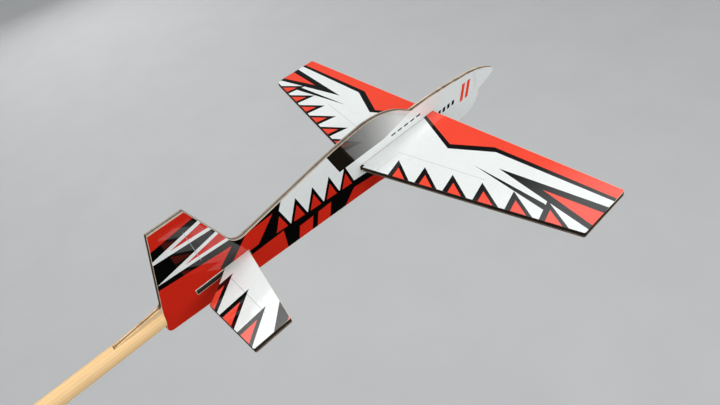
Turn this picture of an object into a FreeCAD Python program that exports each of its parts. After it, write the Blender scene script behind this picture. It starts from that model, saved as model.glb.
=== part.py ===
import FreeCAD, Part
import os
import Sketcher

# Slot-together plywood aeroplane on a round stick (a "stick plane").
#
# Three flat plates, each a three-layer plywood with a printed film on both faces:
#   fuselage  - upright plate in the XZ plane, with fin, rudder and a rear tongue,
#   wing      - level plate pushed through the long slot of the fuselage,
#   tailplane - level plate pushed through the short slot under the fin.
# The tongue sits in a saw kerf in the front end of a wooden dowel, the stick, which is
# about 300 long.
#
# Frame: the stick's axis is the X axis, its free end is at the origin, +X is the
# way the aeroplane flies, +Y its left, +Z up.  Millimetres.
# Plate outlines are drawn about the wing's leading edge at the centre line, at the
# height of the stick's axis; the bodies' placements carry them to "wing_station".

doc = FreeCAD.newDocument("stick_plane")

DIMENSIONS = {
    # plywood and film, through the thickness of a plate
    "ply_core": 0.52, "ply_veneer": 0.68, "film": 0.06,
    # stick
    "stick_blank": 302.0, "stick_radius": 2.9,
    "stick_plain": 280.0, "stick_front_radius": 2.85,
    "wing_station": 430.0,
    "kerf_width": 2.0, "kerf_end": -145.5,
    # wing
    "wing_lead": 0.2, "wing_half_span": 82.3, "wing_root_trail": -41.7,
    "wing_tip_trail": -22.6, "wing_corner": 0.8,
    "wing_nick": -40.5, "wing_nick_out": 1.9,
    # tailplane
    "tail_level": 0.6, "tail_half_span": 34.8, "tail_root_lead": -94.9,
    "tail_root_flat": 1.3,
    "tail_tip_lead": -101.4, "tail_tip_trail": -115.1, "tail_heel_out": 10.1,
    "tail_heel_trail": -116.3, "tail_notch": -103.9, "tail_corner": 0.5,
    # slots in the fuselage: ends along X, and the play above and below a plate
    "slot_play": 0.1, "wing_slot_front": 0.4, "wing_slot_rear": -41.9,
    "tail_slot_front": -94.7, "tail_slot_rear": -116.5,
    # fuselage outline
    "fin_top": 30.8, "tongue_end": -145.4, "tongue_top": 2.65, "tongue_bottom": -2.4,
    "fin_tip_corner": 0.4, "fin_root_round": 4.5, "tongue_root_round": 2.2,
    "heel_round": 1.8, "tongue_corner": 0.5, "canopy_foot_round": 1.5,
    "cowl_lip_round": 0.5,
}

dims = doc.addObject("Spreadsheet::Sheet", "dims")
for row, (alias, value) in enumerate(DIMENSIONS.items(), start=1):
    dims.set("A%d" % row, alias)
    dims.set("B%d" % row, str(value))
    dims.setAlias("B%d" % row, alias)
doc.recompute()


def cell(alias):
    return float(dims.get(alias))


def ref(alias):
    """Expression text for a sheet cell; a leading minus negates it."""
    return "-dims." + alias[1:] if alias.startswith("-") else "dims." + alias


def number(value):
    """A coordinate given as a plain number or as the alias of a sheet cell."""
    if not isinstance(value, str):
        return float(value)
    return -cell(value[1:]) if value.startswith("-") else cell(value)


def plane(body, role):
    return next(f for f in body.Origin.OriginFeatures if f.Role == role)


def attached_sketch(body, role, name):
    sketch = body.newObject("Sketcher::SketchObject", name)
    sketch.AttachmentSupport = [(plane(body, role), "")]
    sketch.MapMode = "FlatFace"
    return sketch


def draw_loop(sketch, path):
    """Closed outline.  Each entry is (x, y) for a straight edge to the next corner,
    or (x, y, bx, by) for an arc that bulges through (bx, by) on its way there."""
    corners = [FreeCAD.Vector(number(p[0]), number(p[1]), 0) for p in path]
    first = sketch.GeometryCount
    starts, ends = [], []
    for i, entry in enumerate(path):
        a, b = corners[i], corners[(i + 1) % len(path)]
        if len(entry) == 2:
            sketch.addGeometry(Part.LineSegment(a, b), False)
            starts.append((first + i, 1))
            ends.append((first + i, 2))
        else:
            arc = Part.Arc(a, FreeCAD.Vector(entry[2], entry[3], 0), b)
            index = sketch.addGeometry(arc, False)
            radius = sketch.Geometry[index].Radius
            forward = sketch.getPoint(index, 1).distanceToPoint(a) < 1e-6
            starts.append((index, 1 if forward else 2))
            ends.append((index, 2 if forward else 1))
            sketch.addConstraint(Sketcher.Constraint("Radius", index, radius))
    for i, entry in enumerate(path):
        prev_geo, prev_pos = ends[i - 1]
        geo, pos = starts[i]
        sketch.addConstraint(Sketcher.Constraint("Coincident", prev_geo, prev_pos, geo, pos))
        for kind, value in (("DistanceX", entry[0]), ("DistanceY", entry[1])):
            c = sketch.addConstraint(
                Sketcher.Constraint(kind, -1, 1, geo, pos, number(value)))
            if isinstance(value, str):
                sketch.setExpression("Constraints[%d]" % c, ref(value))


def plate_layer(label, role, path, thickness, base, slots=(), rounds=()):
    """One layer of a plate: outline padded to its thickness, slots cut through,
    corners rounded.  base is the layer's placement, with expressions for the sheet."""
    body = doc.addObject("PartDesign::Body", label)
    body.Label = label
    outline = attached_sketch(body, role, label + "_outline")
    draw_loop(outline, path)
    pad = body.newObject("PartDesign::Pad", label + "_pad")
    pad.Profile = outline
    pad.setExpression("Length", ref(thickness))
    doc.recompute()

    for i, (rear, front, mid) in enumerate(slots):
        opening = attached_sketch(body, role, "%s_slot%d" % (label, i))
        half = "(dims.ply_core / 2 + dims.ply_veneer + dims.film + dims.slot_play)"
        level = "0" if mid is None else "dims." + mid
        z_mid = 0.0 if mid is None else cell(mid)
        z_half = cell("ply_core") / 2 + cell("ply_veneer") + cell("film") + cell("slot_play")
        x0, x1 = cell(rear), cell(front)
        ring = [(x0, z_mid - z_half), (x1, z_mid - z_half),
                (x1, z_mid + z_half), (x0, z_mid + z_half)]
        for k in range(4):
            a, b = ring[k], ring[(k + 1) % 4]
            opening.addGeometry(Part.LineSegment(FreeCAD.Vector(*a, 0),
                                                 FreeCAD.Vector(*b, 0)), False)
        for k in range(4):
            opening.addConstraint(Sketcher.Constraint("Coincident", k, 2, (k + 1) % 4, 1))
            opening.addConstraint(
                Sketcher.Constraint("Horizontal" if k % 2 == 0 else "Vertical", k))
        for kind, geo, value, text in (
                ("DistanceX", 0, x0, ref(rear)),
                ("DistanceX", 2, x1, ref(front)),
                ("DistanceY", 0, z_mid - z_half, "%s - %s" % (level, half)),
                ("DistanceY", 2, z_mid + z_half, "%s + %s" % (level, half))):
            c = opening.addConstraint(Sketcher.Constraint(kind, -1, 1, geo, 1, value))
            opening.setExpression("Constraints[%d]" % c, text)
        before = body.Shape.Volume
        pocket = body.newObject("PartDesign::Pocket", "%s_opening%d" % (label, i))
        pocket.Profile = opening
        pocket.Type = "ThroughAll"
        pocket.SideType = "Symmetric"
        doc.recompute()
        cut = before - body.Shape.Volume
        expected = (x1 - x0) * 2 * z_half * cell(thickness)
        if abs(cut - expected) > 0.01 * expected:
            raise RuntimeError("%s: slot %d cut %.3f of %.3f" % (label, i, cut, expected))

    for radius, corners in rounds:
        previous = body.Tip
        edges = []
        for cx, cy in corners:
            cx, cy = number(cx), number(cy)
            for k, edge in enumerate(previous.Shape.Edges, start=1):
                ends = [v.Point for v in edge.Vertexes]
                across = [(p.x, p.y if role == "XY_Plane" else p.z) for p in ends]
                if len(ends) == 2 and all(abs(u - cx) + abs(v - cy) < 1e-4
                                          for u, v in across):
                    edges.append("Edge%d" % k)
        if len(edges) != len(corners):
            raise RuntimeError("%s: %d edges for %s" % (label, len(edges), radius))
        fillet = body.newObject("PartDesign::Fillet", label + "_" + radius)
        fillet.Base = (previous, edges)
        fillet.setExpression("Radius", ref(radius))
        doc.recompute()

    for axis, text in base.items():
        body.setExpression("Placement.Base." + axis, text)
    doc.recompute()
    return body


# ---------------------------------------------------------------- fuselage plate
# The XZ sketch plane looks along +Y and pads towards -Y, so a layer's placement in Y
# is its left-hand face.
NOSE = [
    (39.0, -2.2, 34.7, -4.0),       # underside of the spinner
    (30.3, -5.1),                   # lip between spinner and cowl
    (29.6, -5.8, 26.5, -10.9),      # chin of the cowl
    (18.5, -13.6, -7.8, -14.5),     # belly
    (-35.7, -12.45),                # underside of the boom
]
HEEL = [(-131.1, -6.5)]             # lower rear corner, rounded
TONGUE = [
    (-129.88, "tongue_bottom"),
    ("tongue_end", "tongue_bottom"),
    ("tongue_end", "tongue_top"),
    (-127.85, 4.45),                # root of the tongue, rounded into the rudder
]
TOP = [
    (-118.8, "fin_top"),            # fin tip, rear
    (-106.2, "fin_top"),            # fin tip, front
    (-97.5, 7.8),                   # foot of the fin, rounded into the boom
    (-61.1, 13.8, -48.2, 15.65),    # rear of the canopy
    (-36.0, 16.8, -26.2, 15.75),    # crown of the canopy
    (-18.3, 12.75),                 # windscreen
    (-11.7, 8.35, 5.0, 7.75),       # top of the cowl
    (20.2, 6.1, 30.6, 4.2),         # shoulder of the nose
    (38.9, 0.75, 40.05, -0.8),      # tip of the spinner
]
FUSELAGE = NOSE + HEEL + TONGUE + TOP
PRINTED_SIDE = NOSE + HEEL + [(-127.85, 4.45)] + TOP    # the film stops at the tongue

SLOTS = [("wing_slot_rear", "wing_slot_front", None),
         ("tail_slot_rear", "tail_slot_front", "tail_level")]
FUSELAGE_ROUNDS = [
    ("fin_tip_corner", [(-118.8, "fin_top"), (-106.2, "fin_top")]),
    ("fin_root_round", [(-97.5, 7.8)]),
    ("heel_round", [(-131.1, -6.5)]),
    ("canopy_foot_round", [(-11.7, 8.35)]),
    ("cowl_lip_round", [(30.3, -5.1)]),
]
TONGUE_ROUNDS = [
    ("tongue_root_round", [(-127.85, 4.45)]),
    ("tongue_corner", [("tongue_end", "tongue_bottom"), ("tongue_end", "tongue_top")]),
]

CORE = "dims.ply_core / 2"
FACE = "(dims.ply_core / 2 + dims.ply_veneer)"
for label, path, thickness, left_face, rounds in (
        ("fuselage_core", FUSELAGE, "ply_core", CORE, FUSELAGE_ROUNDS + TONGUE_ROUNDS),
        ("fuselage_veneer_right", FUSELAGE, "ply_veneer", "-" + CORE,
         FUSELAGE_ROUNDS + TONGUE_ROUNDS),
        ("fuselage_veneer_left", FUSELAGE, "ply_veneer", FACE,
         FUSELAGE_ROUNDS + TONGUE_ROUNDS),
        ("fuselage_print_right", PRINTED_SIDE, "film", "-" + FACE, FUSELAGE_ROUNDS),
        ("fuselage_print_left", PRINTED_SIDE, "film", FACE + " + dims.film",
         FUSELAGE_ROUNDS)):
    plate_layer(label, "XZ_Plane", path, thickness,
                {"x": "dims.wing_station", "y": left_face}, SLOTS, rounds)

# ------------------------------------------------------------ wing and tailplane
WING = [
    ("wing_lead", "wing_half_span"),
    ("wing_lead", "-wing_half_span"),
    ("wing_tip_trail", "-wing_half_span"),
    ("wing_root_trail", "-wing_nick_out"),
    ("wing_nick", "-wing_nick_out"),        # a shallow nick where the slot ends
    ("wing_nick", "wing_nick_out"),
    ("wing_root_trail", "wing_nick_out"),
    ("wing_tip_trail", "wing_half_span"),
]
WING_ROUNDS = [("wing_corner", [WING[0], WING[1], WING[2], WING[7]])]

TAIL = [
    ("tail_root_lead", "tail_root_flat"),
    ("tail_root_lead", "-tail_root_flat"),
    ("tail_tip_lead", "-tail_half_span"),
    ("tail_tip_trail", "-tail_half_span"),
    ("tail_heel_trail", "-tail_heel_out"),
    (-111.1, -6.4),
    ("tail_notch", 0.0),            # clear of the rudder
    (-111.1, 6.4),
    ("tail_heel_trail", "tail_heel_out"),
    ("tail_tip_trail", "tail_half_span"),
    ("tail_tip_lead", "tail_half_span"),
]
TAIL_ROUNDS = [("tail_corner", [TAIL[k] for k in (2, 3, 4, 8, 9, 10)])]

for plate, path, level, rounds in (("wing", WING, "0", WING_ROUNDS),
                                   ("tailplane", TAIL, "dims.tail_level", TAIL_ROUNDS)):
    for layer, thickness, underside in (
            ("core", "ply_core", "-" + CORE),
            ("veneer_top", "ply_veneer", "+" + CORE),
            ("veneer_bottom", "ply_veneer", "-" + FACE),
            ("print_top", "film", "+" + FACE),
            ("print_bottom", "film", "-" + FACE + " - dims.film")):
        plate_layer("%s_%s" % (plate, layer), "XY_Plane", path, thickness,
                    {"x": "dims.wing_station", "z": "%s %s" % (level, underside)},
                    (), rounds)

# ------------------------------------------------------------------------ stick
# A round dowel.  Its front end is sanded a trace slimmer, sawn off along the rear edge
# of the fuselage and slit down the middle by the kerf that grips the tongue.
stick = doc.addObject("PartDesign::Body", "stick")
stick.Label = "stick"
profile = attached_sketch(stick, "XY_Plane", "stick_profile")
draw_loop(profile, [
    (0.0, 0.0),
    (0.0, "stick_radius"),
    ("stick_plain", "stick_radius"),
    ("stick_blank", "stick_front_radius"),
    ("stick_blank", 0.0),
])
rod = stick.newObject("PartDesign::Revolution", "stick_rod")
rod.Profile = profile
rod.ReferenceAxis = (profile, ["H_Axis"])
rod.Angle = 360.0
doc.recompute()
if stick.Shape.Volume < 7900.0:
    raise RuntimeError("the stick was not turned")

END_SLOPE = 0.297                   # of the fuselage's rear edge, X per Z
END_AT_AXIS = -129.27               # where the sloping end crosses the stick's axis
before = stick.Shape.Volume
end_cut = attached_sketch(stick, "XZ_Plane", "stick_end")
reach = 4.0
low = cell("wing_station") + END_AT_AXIS - END_SLOPE * reach
high = cell("wing_station") + END_AT_AXIS + END_SLOPE * reach
draw_loop(end_cut, [(low, -reach), (high + 8.0, -reach), (high + 8.0, reach), (high, reach)])
end_pocket = stick.newObject("PartDesign::Pocket", "stick_end_cut")
end_pocket.Profile = end_cut
end_pocket.Type = "ThroughAll"
end_pocket.SideType = "Symmetric"
doc.recompute()
if stick.Shape.Volume > before - 10.0:
    raise RuntimeError("the stick's front end was not cut")

before = stick.Shape.Volume
kerf = attached_sketch(stick, "XY_Plane", "kerf_plan")
station = cell("wing_station")
half_kerf = cell("kerf_width") / 2
kerf_x0, kerf_x1 = station + cell("kerf_end"), station - 120.0
ring = [(kerf_x0, -half_kerf), (kerf_x1, -half_kerf), (kerf_x1, half_kerf),
        (kerf_x0, half_kerf)]
for k in range(4):
    a, b = ring[k], ring[(k + 1) % 4]
    kerf.addGeometry(Part.LineSegment(FreeCAD.Vector(*a, 0), FreeCAD.Vector(*b, 0)), False)
for k in range(4):
    kerf.addConstraint(Sketcher.Constraint("Coincident", k, 2, (k + 1) % 4, 1))
    kerf.addConstraint(Sketcher.Constraint("Horizontal" if k % 2 == 0 else "Vertical", k))
for kind, geo, value, text in (
        ("DistanceX", 0, kerf_x0, "dims.wing_station + dims.kerf_end"),
        ("DistanceX", 2, kerf_x1, "dims.wing_station - 120"),
        ("DistanceY", 0, -half_kerf, "-dims.kerf_width / 2"),
        ("DistanceY", 2, half_kerf, "dims.kerf_width / 2")):
    c = kerf.addConstraint(Sketcher.Constraint(kind, -1, 1, geo, 1, value))
    kerf.setExpression("Constraints[%d]" % c, text)
kerf_pocket = stick.newObject("PartDesign::Pocket", "kerf")
kerf_pocket.Profile = kerf
kerf_pocket.Type = "ThroughAll"
kerf_pocket.SideType = "Symmetric"
doc.recompute()
if stick.Shape.Volume > before - 100.0:
    raise RuntimeError("the kerf was not cut")

# ------------------------------------------------------------- checks and export
doc.recompute()
for obj in doc.Objects:
    if "Invalid" in obj.State or "Error" in obj.State:
        raise RuntimeError("%s: %s" % (obj.Name, obj.State))
bodies = [o for o in doc.Objects if o.TypeId == "PartDesign::Body"]
for body in bodies:
    shape = body.Shape
    if shape.isNull() or not shape.isValid() or len(shape.Solids) != 1:
        raise RuntimeError("%s: bad shape" % body.Label)
for sketch in (o for o in doc.Objects if o.TypeId == "Sketcher::SketchObject"):
    if sketch.solve() != 0:
        raise RuntimeError("%s does not solve" % sketch.Name)

os.makedirs("parts", exist_ok=True)
for body in bodies:
    box = body.Shape.BoundBox
    body.Shape.exportStep("parts/%s.step" % body.Label)
    print("%-24s %9.2f mm3  x %.2f..%.2f  y %.2f..%.2f  z %.2f..%.2f" % (
        body.Label, body.Shape.Volume, box.XMin, box.XMax, box.YMin, box.YMax,
        box.ZMin, box.ZMax))
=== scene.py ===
import math
import bpy
import numpy as np
from mathutils import Matrix, Vector
from mathutils.geometry import delaunay_2d_cdt


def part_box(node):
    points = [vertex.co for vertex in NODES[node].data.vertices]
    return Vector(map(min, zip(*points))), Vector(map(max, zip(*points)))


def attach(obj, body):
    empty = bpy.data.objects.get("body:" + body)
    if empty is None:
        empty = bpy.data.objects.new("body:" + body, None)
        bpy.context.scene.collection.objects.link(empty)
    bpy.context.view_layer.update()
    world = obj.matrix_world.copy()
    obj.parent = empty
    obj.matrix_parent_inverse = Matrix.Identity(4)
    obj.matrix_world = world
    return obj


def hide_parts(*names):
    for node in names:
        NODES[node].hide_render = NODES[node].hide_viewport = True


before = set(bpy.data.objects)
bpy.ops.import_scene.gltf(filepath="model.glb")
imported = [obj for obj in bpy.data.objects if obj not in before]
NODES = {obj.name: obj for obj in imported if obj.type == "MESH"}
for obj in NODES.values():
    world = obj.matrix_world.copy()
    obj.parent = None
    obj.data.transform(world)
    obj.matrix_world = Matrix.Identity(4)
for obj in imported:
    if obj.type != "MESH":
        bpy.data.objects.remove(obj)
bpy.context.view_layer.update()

# X runs from the stick's rear end to the aeroplane's nose.  Drawings and materials count in
# millimetres, and the drawings' X from a station just behind the wing's leading edge.
MM = 0.001
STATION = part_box("wing_core")[1][0] / MM - 0.2
TONGUE_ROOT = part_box("stick")[1][0] / MM      # the stick's front end, where the tongue goes in

# Stretches over which a finish fades in or out, most of them along X.
GLASS_FADE = (STATION - 46.0, STATION - 19.0)             # canopy, dark to clear
FRONT_FADE = (STATION - 62.0, STATION - 45.0)             # fuselage from the canopy on
COWL_FADE = (STATION - 14.0, STATION - 8.0)
TONGUE_FADE = (TONGUE_ROOT - 1.0, TONGUE_ROOT + 1.0)
TONGUE_END_FADE = (TONGUE_ROOT - 8.0, TONGUE_ROOT - 7.0)
SLOTS_REAR_FADE = (TONGUE_ROOT + 3.0, TONGUE_ROOT + 5.0)
SLOTS_FRONT_FADE = (STATION + 1.0, STATION + 2.0)
SLOTS_HEIGHT_FADE = (1.8, 2.2)
WING_REAR_FADE = (STATION - 62.0, STATION - 58.0)
WING_FRONT_FADE = (STATION - 12.0, STATION - 6.0)
TAIL_FRONT_FADE = (STATION - 106.0, STATION - 102.0)


# --------------------------------------------------------------------- materials
class Look:
    """A procedural material: add() makes a node and wires or sets its inputs."""

    def __init__(self, name):
        self.material = bpy.data.materials.new(name)
        self.material.use_nodes = True
        self.tree = self.material.node_tree
        self.tree.nodes.clear()
        coords = self.add("ShaderNodeTexCoord")
        self.place = self.add("ShaderNodeVectorMath", {"operation": "SCALE"},
                              {"Vector": coords.outputs["Object"],
                               "Scale": 1.0 / MM}).outputs[0]
        self.normal = coords.outputs["Normal"]

    def add(self, kind, settings=None, inputs=None):
        node = self.tree.nodes.new(kind)
        for key, value in (settings or {}).items():
            setattr(node, key, value)
        for key, value in (inputs or {}).items():
            socket = node.inputs[key]
            if isinstance(value, bpy.types.NodeSocket):
                self.tree.links.new(value, socket)
            else:
                socket.default_value = value
        return node

    def noise(self, scale, detail=3.0, rough=0.55, stretch=None):
        """Noise in millimetres; stretch lengthens its features along X, Y, Z."""
        vector = self.place
        if stretch:
            vector = self.add("ShaderNodeVectorMath", {"operation": "DIVIDE"},
                              {0: vector, 1: stretch}).outputs[0]
        return self.add("ShaderNodeTexNoise", None, {
            "Vector": vector, "Scale": scale, "Detail": detail,
            "Roughness": rough}).outputs["Fac"]

    def ramp(self, fac, stops):
        node = self.add("ShaderNodeValToRGB", None, {"Fac": fac})
        elements = node.color_ramp.elements
        while len(elements) < len(stops):
            elements.new(0.5)
        for element, (at, colour) in zip(elements, stops):
            element.position = at
            element.color = (*colour, 1.0)
        return node.outputs["Color"]

    def mix(self, fac, a, b, blend="MIX"):
        """Mixes two colours.  Sockets 6 and 7 are the node's colour inputs."""
        node = self.add("ShaderNodeMix", {"data_type": "RGBA", "blend_type": blend})
        for index, value in ((0, fac), (6, a), (7, b)):
            socket = node.inputs[index]
            if isinstance(value, bpy.types.NodeSocket):
                self.tree.links.new(value, socket)
            else:
                socket.default_value = value if index == 0 else (*value, 1.0)
        return node.outputs[2]

    def to_range(self, value, low, high, new_low=0.0, new_high=1.0):
        return self.add("ShaderNodeMapRange", None, {
            "Value": value, "From Min": low, "From Max": high,
            "To Min": new_low, "To Max": new_high}).outputs["Result"]

    def part_of(self, vector, axis):
        return self.add("ShaderNodeSeparateXYZ", None, {0: vector}).outputs[axis]

    def calc(self, operation, *values):
        return self.add("ShaderNodeMath", {"operation": operation},
                        dict(enumerate(values))).outputs[0]

    def slope(self, axis):
        """How squarely a surface faces along an axis, either way."""
        return self.calc("ABSOLUTE", self.part_of(self.normal, axis))

    def bump(self, height, distance, strength=1.0):
        return self.add("ShaderNodeBump", None, {
            "Height": height, "Distance": distance * MM, "Strength": strength}).outputs[0]

    def surface(self, **sockets):
        names = {"colour": "Base Color", "roughness": "Roughness", "normal": "Normal",
                 "coat": "Coat Weight", "coat_roughness": "Coat Roughness",
                 "specular": "Specular IOR Level"}
        shader = self.add("ShaderNodeBsdfPrincipled", None,
                          {names[k]: v for k, v in sockets.items()})
        self.add("ShaderNodeOutputMaterial", None, {"Surface": shader.outputs[0]})
        return self.material


CANOPY_TINT = [(0.0, (0.065, 0.065, 0.06)), (0.35, (0.20, 0.20, 0.19)),
               (0.75, (0.47, 0.47, 0.46)), (1.0, (0.68, 0.69, 0.68))]


def ink(name, colour=None):
    """Gloss ink on a film: faint mottle, the veneer's grain just showing through.  Without
    a colour it is the canopy's tint, dark at the rear and pale ahead."""
    look = Look(name)
    base = colour
    if colour is None:
        along = look.part_of(look.place, 0)
        base = look.ramp(look.to_range(along, *GLASS_FADE), CANOPY_TINT)
    mottle = look.noise(0.9, 4.0, 0.6)
    grain = look.noise(1.0, 3.0, 0.55, (9.0, 9.0, 0.55))
    toned = look.mix(look.to_range(mottle, 0.35, 0.7, 0.0, 0.12), base,
                     (0.62, 0.62, 0.60), "MULTIPLY")
    toned = look.mix(look.to_range(grain, 0.5, 0.75, 0.0, 0.07), toned,
                     (0.45, 0.38, 0.30), "MULTIPLY")
    wear = look.noise(0.35, 2.0, 0.5)
    return look.surface(
        colour=toned, roughness=look.to_range(wear, 0.3, 0.7, 0.03, 0.08),
        coat=0.35, coat_roughness=0.03, specular=0.5,
        normal=look.bump(look.noise(0.7, 3.0, 0.5, (6.0, 6.0, 1.0)), 0.010, 0.4))


def plywood(name, axis, face, edge, char, charring, rear=0.0, front=0.0, tongue=None,
            cowl=None):
    """A ply of a laser-cut plate.  Faces across the axis are clean veneer with grain along
    X; the cut edges are scorched by the amount of charring, in streaks that run through the
    thickness.  Edges that face the tail are darkened more by rear, partly char and partly
    painted shade of edges turned from the light; those from the canopy on are scorched more
    by front.  Where rear is given the slot walls are black: laser char plus painted shade of
    the recess.  The edges of the tongue and of the cowl can have colours of their own."""
    look = Look(name)
    along = look.part_of(look.place, 0)
    grain = look.noise(1.0, 5.0, 0.62, (14.0, 0.7, 0.7))
    clean = look.mix(look.to_range(grain, 0.35, 0.7), face, tuple(0.62 * c for c in face))
    soot = look.noise(1.6, 5.0, 0.7, tuple(20.0 if k == axis else 0.8 for k in range(3)))
    patches = look.noise(0.16, 3.0, 0.6)
    amount = look.calc("ADD", look.to_range(soot, 0.3, 0.7, -0.35, 0.35), look.to_range(
        patches, 0.3, 0.7, charring - 0.3, charring + 0.3))
    # painted shade: edges that face the tail are darkened by the way they face, on top of their
    # char
    tailward_char_and_shade = look.to_range(look.part_of(look.normal, 0), -0.2, -0.7, 0.0, rear)
    if tongue:
        tailward_char_and_shade = look.calc("MULTIPLY", tailward_char_and_shade, look.to_range(along, *TONGUE_END_FADE))
    amount = look.calc("ADD", amount, tailward_char_and_shade)
    if front:
        amount = look.calc("ADD", amount, look.to_range(along, *FRONT_FADE, 0.0, front))
    if tongue:
        edge = look.mix(look.to_range(along, *TONGUE_FADE, 1.0, 0.0), edge, tongue)
    if cowl:
        edge = look.mix(look.to_range(along, *COWL_FADE), edge, cowl)
    charred_and_shaded = look.mix(look.to_range(amount, 0.0, 1.0), edge, char)
    # painted shade: the slot walls are made black, laser char plus the shade of the recess
    if rear:
        height = look.calc("ABSOLUTE", look.part_of(look.place, 2))
        between = look.calc("MULTIPLY", look.to_range(along, *SLOTS_REAR_FADE),
                            look.to_range(along, *SLOTS_FRONT_FADE, 1.0, 0.0))
        slot_walls_char_and_shade = look.calc("MULTIPLY", between,
                          look.to_range(height, *SLOTS_HEIGHT_FADE, 1.0, 0.0))
        slot_walls_char_and_shade = look.calc("MULTIPLY", slot_walls_char_and_shade, look.to_range(look.slope(2), 0.7, 0.9))
        charred_and_shaded = look.mix(slot_walls_char_and_shade, charred_and_shaded, (0.022, 0.013, 0.008))
    on_face = 0.0 if axis is None else look.to_range(look.slope(axis), 0.6, 0.8)
    return look.surface(
        colour=look.mix(on_face, charred_and_shaded, clean),
        roughness=look.to_range(grain, 0.3, 0.7, 0.55, 0.78), specular=0.3,
        normal=look.bump(soot, 0.05, 0.6))


def dowel(name):
    """Sanded softwood: long straight grain, fine fibres, rings on the sawn ends."""
    look = Look(name)
    long_grain = look.noise(1.0, 5.0, 0.6, (60.0, 1.1, 1.1))
    fibres = look.noise(3.2, 4.0, 0.65, (26.0, 1.0, 1.0))
    from_pith = look.add("ShaderNodeVectorMath", {"operation": "ADD"},
                         {0: look.place, 1: (0.0, 5.0, 9.0)}).outputs[0]
    ring = look.add("ShaderNodeTexWave", {"wave_type": "RINGS", "rings_direction": "X"},
                    {"Vector": from_pith, "Scale": 0.34, "Distortion": 1.4, "Detail": 2.0,
                     "Detail Scale": 0.06}).outputs["Fac"]
    wood = look.ramp(long_grain, [(0.30, (0.92, 0.585, 0.275)), (0.52, (0.97, 0.665, 0.335)),
                                  (0.74, (0.84, 0.50, 0.225))])
    wood = look.mix(look.to_range(ring, 0.55, 1.0, 0.0, 0.30), wood, (0.74, 0.43, 0.20))
    wood = look.mix(look.to_range(fibres, 0.56, 0.74, 0.0, 0.30), wood, (0.58, 0.33, 0.15))
    sawn = look.ramp(ring, [(0.3, (0.66, 0.45, 0.24)), (0.8, (0.36, 0.20, 0.09))])
    wood = look.mix(look.to_range(look.slope(0), 0.7, 0.9), wood, sawn)
    return look.surface(colour=wood, specular=0.3,
                        roughness=look.to_range(fibres, 0.3, 0.7, 0.5, 0.68),
                        normal=look.bump(look.to_range(fibres, 0.0, 1.0, 0.25, 0.75),
                                         0.06, 0.7))


def level_rim(name):
    """Scorched rim of the prints on the wing and the tailplane: black-brown along the
    trailing edges, pale along the leading edges."""
    look = Look(name)
    along = look.part_of(look.place, 0)
    wing = look.calc("MULTIPLY", look.to_range(along, *WING_REAR_FADE),
                     look.to_range(along, *WING_FRONT_FADE, 1.0, 0.0))
    tail = look.to_range(along, *TAIL_FRONT_FADE, 1.0, 0.0)
    soot = look.noise(1.6, 5.0, 0.7)
    pale = look.mix(look.to_range(soot, 0.35, 0.75, 0.0, 0.6), (0.74, 0.66, 0.52),
                    (0.30, 0.20, 0.12))
    dark = look.mix(look.to_range(soot, 0.35, 0.75), (0.085, 0.045, 0.030),
                    (0.02, 0.012, 0.008))
    return look.surface(colour=look.mix(look.calc("ADD", wing, tail), pale, dark),
                        roughness=0.6, specular=0.3, normal=look.bump(soot, 0.04, 0.6))


SCORCHED = (0.74, 0.66, 0.48)
INKS = {
    "white": (ink("ink_white", (0.86, 0.89, 0.88)), "print_white"),
    "red": (ink("ink_red", (0.95, 0.070, 0.034)), "print_red"),
    # painted shade: a darker copy of the red ink above, the same ink, for the fuselage's sides
    "red_side": (ink("ink_red_side", (0.66, 0.022, 0.009)), "print_red"),
    "black": (ink("ink_black", (0.0018, 0.0016, 0.0015)), "print_black"),
    "smoke": (ink("ink_smoke", (0.011, 0.009, 0.006)), "print_black"),
    "line": (ink("ink_line", (0.45, 0.46, 0.46)), "print_grey"),
    "glass": (ink("ink_glass"), "print_grey"),
    "scorch": (plywood("scorched_rim", None, face=SCORCHED, edge=SCORCHED,
                       char=(0.20, 0.12, 0.07), charring=0.15), "ply_core"),
    "level_scorch": (level_rim("scorched_level_rim"), "ply_core"),
}


# ------------------------------------------------------------------- the artwork
HAIRLINE = 0.16        # width of the printed panel lines
INNER = 0.66           # size of a triangle's inner one


def strip(points, width=HAIRLINE):
    """A thin printed line along a few points."""
    sides = [[], []]
    for i, p in enumerate(points):
        a = np.array(points[max(i - 1, 0)], float)
        b = np.array(points[min(i + 1, len(points) - 1)], float)
        across = np.array([a[1] - b[1], b[0] - a[0]]) / np.linalg.norm(b - a) * width / 2
        sides[0].append(np.array(p) + across)
        sides[1].append(np.array(p) - across)
    return sides[0] + sides[1][::-1]


def shards(start, end, count, rise, inks):
    """A row of plain leaning triangles on the line from start to end, each in the first
    ink with a smaller one in the second ink inside it."""
    start, step = np.array(start, float), (np.array(end, float) - start) / count
    row = []
    for k in range(count):
        corners = [start + k * step, start + (k + 1) * step, start + k * step + rise]
        foot = (corners[0] + corners[1]) / 2
        row.append((inks[0], corners))
        row.append((inks[1], [foot + INNER * (c - foot) for c in corners]))
    return row


def blocks(ink_name, count, pitch, x, z, width, height, lean):
    """A row of plain slanted blocks along X."""
    return [(ink_name, [(left, z), (left + width, z), (left + width + lean, z + height),
                        (left + lean, z + height)])
            for left in (x + pitch * k for k in range(count))]


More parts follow.
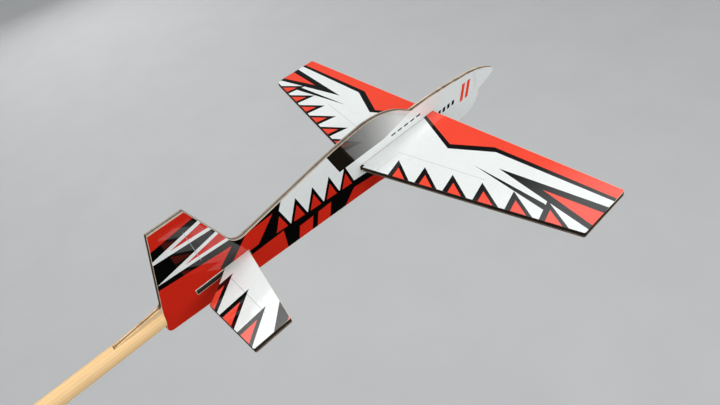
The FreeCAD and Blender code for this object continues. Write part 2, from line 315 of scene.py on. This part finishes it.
# The prints carry a plain pattern: straight wedges, rows of triangles and rows of blocks.
# Later shapes cover earlier ones, and shapes may run past the plate's edge.
# Wing, one half: (distance from the centre line, X).  The other half mirrors it.
WING_ART = [
    ("line", strip([(8.0, -41.5), (8.0, -27.2), (44.0, -20.8)])),
    # leading-edge wedge and its shadow
    ("black", [(0.0, 1.0), (84.0, 1.0), (84.0, -6.0), (38.0, -7.0), (22.0, -15.0), (0.0, -5.0)]),
    ("red", [(0.0, 1.0), (84.0, 1.0), (84.0, -4.5), (36.0, -5.0), (21.0, -12.6), (0.0, -3.4)]),
    # tip wedges
    ("black", [(84.0, -9.0), (84.0, -21.0), (44.0, -13.5)]),
    ("red", [(84.0, -12.0), (84.0, -19.0), (62.0, -14.0)]),
    ("black", [(74.0, -22.5), (36.0, -17.0), (66.0, -19.0)]),
    *shards((14.0, -41.0), (80.0, -25.0), count=6, rise=(-3.0, 10.5), inks=("black", "red")),
]

# Tailplane, one half, in the same coordinates.
TAIL_ART = [
    ("line", strip([(6.5, -105.6), (27.0, -105.6)])),
    ("black", [(25.0, -98.0), (36.0, -98.0), (36.0, -109.0)]),
    ("red", [(31.0, -98.0), (36.0, -98.0), (36.0, -104.0)]),
    *shards((6.0, -118.0), (36.0, -118.0), count=3, rise=(-1.0, 14.0), inks=("black", "red")),
]

# Fuselage side: (X, Z).  Both sides carry it.  Its red parts, apart from the cowl's bars, use the
# darker copy of the red ink, which is painted shade.
FUSELAGE_ART = [
    # ground of the whole rear, with a long point along the belly, and its red parts
    ("black", [(-76.0, 12.5), (-89.5, 14.0), (-95.5, 33.0), (-135.4, 33.0), (-135.4, -17.0),
               (0.0, -17.0), (-24.0, -5.5), (-46.0, -3.0), (-84.5, 0.0)]),
    ("red_side", [(-8.0, -17.0), (-25.0, -8.9), (-47.0, -6.0), (-60.0, -17.0)]),
    *shards((-84.5, 0.0), (-46.0, -3.6), count=5, rise=(5.2, 9.0), inks=("black", "red_side")),
    *blocks("red_side", 2, pitch=9.0, x=-79.0, z=-17.0, width=6.5, height=12.5, lean=5.0),
    ("red_side", [(-96.4, 5.8), (-93.0, 8.5), (-81.6, 8.7), (-90.7, 1.0), (-102.4, 1.0)]),
    ("red_side", [(-135.4, 12.3), (-99.0, 8.1), (-106.3, 2.7), (-102.5, -1.0), (-80.4, -1.2),
                  (-82.2, -17.0), (-135.4, -17.0)]),
    # fin and rudder, with the hinge line
    ("red_side", [(-124.4, 33.0), (-124.4, 24.8), (-95.5, 28.1), (-95.5, 33.0)]),
    *shards((-93.0, 10.5), (-96.0, 26.5), count=2, rise=(-32.0, 2.5), inks=("white", "red_side")),
    ("line", strip([(-109.7, 10.9), (-109.7, 24.5)])),
    # canopy
    ("smoke", [(-55.5, 17.0), (-51.2, 5.1), (-43.0, 5.1), (-48.3, 17.0)]),
    ("glass", [(-48.3, 17.0), (-43.0, 5.1), (-27.8, 5.1), (-12.1, 8.3), (-12.1, 18.0)]),
    # spinner lines, then plain bars, blocks and dashes on the cowl
    ("line", strip([(27.8, -3.6), (28.0, 0.4), (27.6, 4.2)], 0.14)),
    ("line", strip([(26.8, -4.2), (27.0, 0.4), (26.6, 4.3)], 0.12)),
    *blocks("red", 2, pitch=3.4, x=16.6, z=-4.8, width=2.0, height=7.6, lean=2.6),
    *blocks("black", 4, pitch=2.9, x=2.6, z=-3.4, width=1.6, height=2.0, lean=0.7),
    *blocks("black", 5, pitch=3.6, x=-24.0, z=3.6, width=2.4, height=0.7, lean=0.25),
]


def mirrored(art):
    return art + [(name, [(-p[0], p[1]) for p in shape]) for name, shape in art]


# -------------------------------------------------------------- building a print
RIM_WIDTH = 0.13       # scorched rim of a print
ON_FACE = 0.004        # a face's corners lie this close to its level
SHARPEST = 0.6         # keeps the rim from shooting out at sharp corners


def rims(mesh, axes, level):
    """The closed outlines of a film's outer face, in millimetres."""
    u, v, w = axes
    used = {}
    for polygon in mesh.polygons:
        corners = [mesh.vertices[i].co / MM for i in polygon.vertices]
        if any(abs(c[w] - level) > ON_FACE for c in corners):
            continue
        keys = [(round(c[u], 3), round(c[v], 3)) for c in corners]
        for a, b in zip(keys, keys[1:] + keys[:1]):
            if a != b:
                used[a, b] = True
    onward = {a: b for (a, b) in used if (b, a) not in used}
    loops = []
    while onward:
        point, loop = next(iter(onward)), []
        while point in onward:
            loop.append(point)
            point = onward.pop(point)
        loops.append(np.array(loop, float))
    return loops


def inside(point, loops):
    """Even-odd test of a point against closed loops."""
    x, y, odd = point[0], point[1], False
    for loop in loops:
        a = np.asarray(loop, float)
        b = np.roll(a, -1, axis=0)
        cross = (a[:, 1] > y) != (b[:, 1] > y)
        at = a[cross, 0] + (y - a[cross, 1]) * (b[cross, 0] - a[cross, 0]) / (
            b[cross, 1] - a[cross, 1])
        odd ^= bool(np.count_nonzero(at > x) % 2)
    return odd


def to_left(d):
    """Unit vectors square to the given ones, on their left."""
    return np.stack([-d[:, 1], d[:, 0]], 1) / np.linalg.norm(d, axis=1)[:, None]


def shrunk(loop, by):
    """A rim moved into the film by a small distance.  The film is on the loop's left."""
    before, after = np.roll(loop, 1, axis=0), np.roll(loop, -1, axis=0)
    middle = to_left(loop - before) + to_left(after - loop)
    reach = 2.0 / np.maximum((middle ** 2).sum(1), SHARPEST)
    return loop + by * middle * reach[:, None]


def by_ink(rim, shapes, border):
    """Cuts a film into triangles along all its outlines.  Returns the triangles' corners
    and, for each ink, the triangles that it colours."""
    edge = [shrunk(a, RIM_WIDTH) for a in rim]
    verts, edges = [], []
    for loop in rim + edge + [shape for _, shape in shapes]:
        first = len(verts)
        verts += [Vector((float(p[0]), float(p[1]))) for p in loop]
        edges += [(first + i, first + (i + 1) % len(loop)) for i in range(len(loop))]
    flat, _, faces = delaunay_2d_cdt(verts, edges, [], 0, 1e-4)[:3]
    groups = {}
    for face in faces:
        middle = sum((flat[i] for i in face), Vector((0.0, 0.0))) / len(face)
        if not inside(middle, rim):
            continue
        name = "white"
        if not inside(middle, edge):
            name = border
        else:
            for shape_name, shape in shapes:
                if inside(middle, [shape]):
                    name = shape_name
        groups.setdefault(name, []).append(tuple(face))
    return flat, groups


def slab(name, flat, group, axes, outer, inner):
    """A thin closed piece made of some of a film's triangles, from its outer face to its
    inner one."""
    u, v, w = axes
    corners = sorted({i for face in group for i in face})
    index = {i: k for k, i in enumerate(corners)}
    count = len(corners)
    points = []
    for level in (outer, inner):
        for i in corners:
            p = [0.0, 0.0, 0.0]
            p[u], p[v], p[w] = flat[i][0] * MM, flat[i][1] * MM, level * MM
            points.append(p)
    top = [tuple(index[i] for i in face) for face in group]
    pairs = {(a, b) for f in top for a, b in zip(f, f[1:] + f[:1])}
    walls = [(a, a + count, b + count, b) for a, b in pairs if (b, a) not in pairs]
    bottom = [tuple(i + count for i in reversed(f)) for f in top]
    mesh = bpy.data.meshes.new(name)
    mesh.from_pydata(points, [], top + walls + bottom)
    mesh.validate()
    if (mesh.polygons[0].normal[w] > 0) != (outer > inner):
        mesh.flip_normals()
    mesh.update()
    piece = bpy.data.objects.new(name, mesh)
    bpy.context.scene.collection.objects.link(piece)
    return piece


def film(node, body, axes, side, art, border):
    """Replaces a film node by one thin closed piece for each ink, all side by side.  Axes
    are the drawing's two and the plate's thickness; side says which way the film faces."""
    u, v, w = axes
    low, high = (corner[w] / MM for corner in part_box(node))
    outer, inner = (high, low) if side > 0 else (low, high)
    rim = rims(NODES[node].data, axes, outer)
    area = sum(np.cross(a, np.roll(a, -1, axis=0)).sum() for a in rim)
    if area < 0:
        rim = [a[::-1] for a in rim]
    shift = np.array([STATION if a == 0 else 0.0 for a in (u, v)])
    shapes = [(name, np.array(shape, float) + shift) for name, shape in art]
    flat, groups = by_ink(rim, shapes, border)
    for name, group in sorted(groups.items()):
        piece = slab("%s_%s" % (node, name), flat, group, axes, outer, inner)
        material, finish = INKS[name]
        piece.data.materials.append(material)
        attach(piece, body)
        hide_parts(node)


UPRIGHT = (0, 2, 1)
LEVEL = (1, 0, 2)
for side, facing in ((-1, "right"), (1, "left")):
    film("fuselage_print_" + facing, "fuselage", UPRIGHT, side, FUSELAGE_ART, "scorch")
for plate, art in (("wing", WING_ART), ("tailplane", TAIL_ART)):
    for side, facing in ((1, "top"), (-1, "bottom")):
        film("%s_print_%s" % (plate, facing), plate, LEVEL, side, mirrored(art),
             "level_scorch")


# ------------------------------------------------------- materials of the CAD nodes
BIRCH = (0.90, 0.66, 0.38)
DARK_PLY = (0.30, 0.18, 0.10)
TAN = (0.88, 0.58, 0.30)
PLIES = {
    "fuselage_veneer_right": plywood(
        "fuselage_veneer", 1, BIRCH, edge=(0.41, 0.33, 0.28), char=(0.11, 0.06, 0.038),
        charring=0.1, rear=1.0, front=0.6, tongue=TAN, cowl=(0.66, 0.52, 0.46)),
    "fuselage_veneer_left": plywood(
        "fuselage_veneer_far", 1, BIRCH, edge=(0.36, 0.32, 0.26), char=(0.13, 0.08, 0.05),
        charring=0.15, rear=0.9, tongue=TAN, cowl=(0.74, 0.62, 0.43)),
    "fuselage_core": plywood(
        "fuselage_core", 1, DARK_PLY, edge=(0.085, 0.046, 0.028), char=(0.02, 0.011, 0.007),
        charring=0.35, rear=0.5, front=0.3, tongue=(0.24, 0.115, 0.055)),
    "wing_veneer_top": plywood(
        "level_veneer_upper", 2, BIRCH, edge=(0.05, 0.03, 0.018),
        char=(0.010, 0.007, 0.005), charring=0.55),
    "wing_veneer_bottom": plywood(
        "level_veneer_lower", 2, BIRCH, edge=(0.26, 0.19, 0.14), char=(0.07, 0.045, 0.03),
        charring=0.35),
    "wing_core": plywood(
        "level_core", 2, DARK_PLY, edge=(0.02, 0.013, 0.009), char=(0.008, 0.006, 0.004),
        charring=0.6),
}
for layer in ("veneer_top", "veneer_bottom", "core"):
    PLIES["tailplane_" + layer] = PLIES["wing_" + layer]


def dress(node, material):
    data = NODES[node].data
    data.materials.clear()
    data.materials.append(material)


for node, material in PLIES.items():
    dress(node, material)
dress("stick", dowel("dowel"))


# ------------------------------------------------------------------------- studio
FLOOR_AT = (0.3, 0.0, -0.36)
FLOOR_SIZE = 8.0
# Brightness of the dome by height: dark below the horizon, dim above it, bright in a ring
# part of the way up, and less bright from there to the top.
DOME = [(0.47, 0.006), (0.52, 0.08), (0.68, 0.06), (0.71, 0.13), (0.75, 1.0), (0.80, 1.0),
        (0.85, 0.25)]
DOME_TOP = (0.0, -0.45, 0.893)       # the dome is tipped towards the -Y side
DOME_TINT = (0.97, 0.99, 1.0)
DOME_STRENGTH = 1.7
WALL = (0.311, 0.320, 0.325, 1.0)


def lay_floor():
    bpy.ops.mesh.primitive_plane_add(size=FLOOR_SIZE, location=FLOOR_AT)
    floor = bpy.context.object
    floor.name = "floor"
    paint = Look("floor_paint")
    shades = [(0.3, (0.515, 0.52, 0.525)), (0.7, (0.535, 0.54, 0.545))]
    floor.data.materials.append(paint.surface(
        colour=paint.ramp(paint.noise(0.012), shades), roughness=0.8, specular=0.2))
    floor.visible_glossy = False     # glossy prints mirror the dome's dark half instead


def hang_dome():
    """The world: a studio dome gives light and reflections.  Beyond the floor's edge the
    eye meets a plain pale wall instead of the dome."""
    world = bpy.data.worlds.new("studio")
    world.use_nodes = True
    nodes, links = world.node_tree.nodes, world.node_tree.links
    height = nodes.new("ShaderNodeVectorMath")
    height.operation = "DOT_PRODUCT"
    height.inputs[1].default_value = DOME_TOP
    links.new(nodes.new("ShaderNodeTexCoord").outputs["Generated"], height.inputs[0])
    spread = nodes.new("ShaderNodeMapRange")
    spread.inputs["From Min"].default_value = -1.0
    links.new(height.outputs["Value"], spread.inputs["Value"])
    dome = nodes.new("ShaderNodeValToRGB")
    links.new(spread.outputs["Result"], dome.inputs["Fac"])
    while len(dome.color_ramp.elements) < len(DOME):
        dome.color_ramp.elements.new(0.5)
    for element, (at, level) in zip(dome.color_ramp.elements, DOME):
        element.position = at
        element.color = (*(level * tint for tint in DOME_TINT), 1.0)
    light = nodes["Background"]
    light.inputs["Strength"].default_value = DOME_STRENGTH
    links.new(dome.outputs["Color"], light.inputs["Color"])
    wall = nodes.new("ShaderNodeBackground")
    wall.inputs["Color"].default_value = WALL
    choice = nodes.new("ShaderNodeMixShader")
    links.new(nodes.new("ShaderNodeLightPath").outputs["Is Camera Ray"], choice.inputs["Fac"])
    links.new(light.outputs["Background"], choice.inputs[1])
    links.new(wall.outputs["Background"], choice.inputs[2])
    links.new(choice.outputs["Shader"], nodes["World Output"].inputs["Surface"])
    bpy.context.scene.world = world
    bpy.context.scene.view_settings.view_transform = "Standard"


def aim(thing, at, towards, roll=0.0):
    """Puts a lamp or the camera in its place, looking towards a point."""
    turn = (Vector(towards) - Vector(at)).to_track_quat("-Z", "Y").to_matrix()
    turn = turn @ Matrix.Rotation(roll, 3, "Z")
    thing.matrix_world = Matrix.Translation(at) @ turn.to_4x4()
    bpy.context.scene.collection.objects.link(thing)


def lamp(name, at, towards, size, watts, colour=(1.0, 1.0, 1.0)):
    data = bpy.data.lights.new(name, "AREA")
    data.shape, data.size, data.energy, data.color = "DISK", size, watts, colour
    aim(bpy.data.objects.new(name, data), at, towards)


lay_floor()
lamp("key", (0.52, 0.28, 0.99), (0.36, 0.0, 0.0), 0.92, 4.9, (1.0, 1.0, 0.99))
lamp("side", (0.60, -0.60, 0.34), (0.41, 0.0, 0.0), 0.5, 1.5)
lamp("fill", (0.60, 1.65, 0.42), (0.38, 0.0, 0.0), 1.0, 6.5)
hang_dome()

# ------------------------------------------------------------------------- camera
CAMERA_AT = (0.30624, -0.12824, 0.12650)
CAMERA_TOWARDS = (0.37541, -0.01459, 0.0)
CAMERA_ROLL = math.radians(-16.022)

lens = bpy.data.cameras.new("camera")
lens.sensor_width = 36.0
lens.lens = 25.464
lens.clip_start = 0.005
camera = bpy.data.objects.new("camera", lens)
aim(camera, CAMERA_AT, CAMERA_TOWARDS, CAMERA_ROLL)
bpy.context.scene.camera = camera
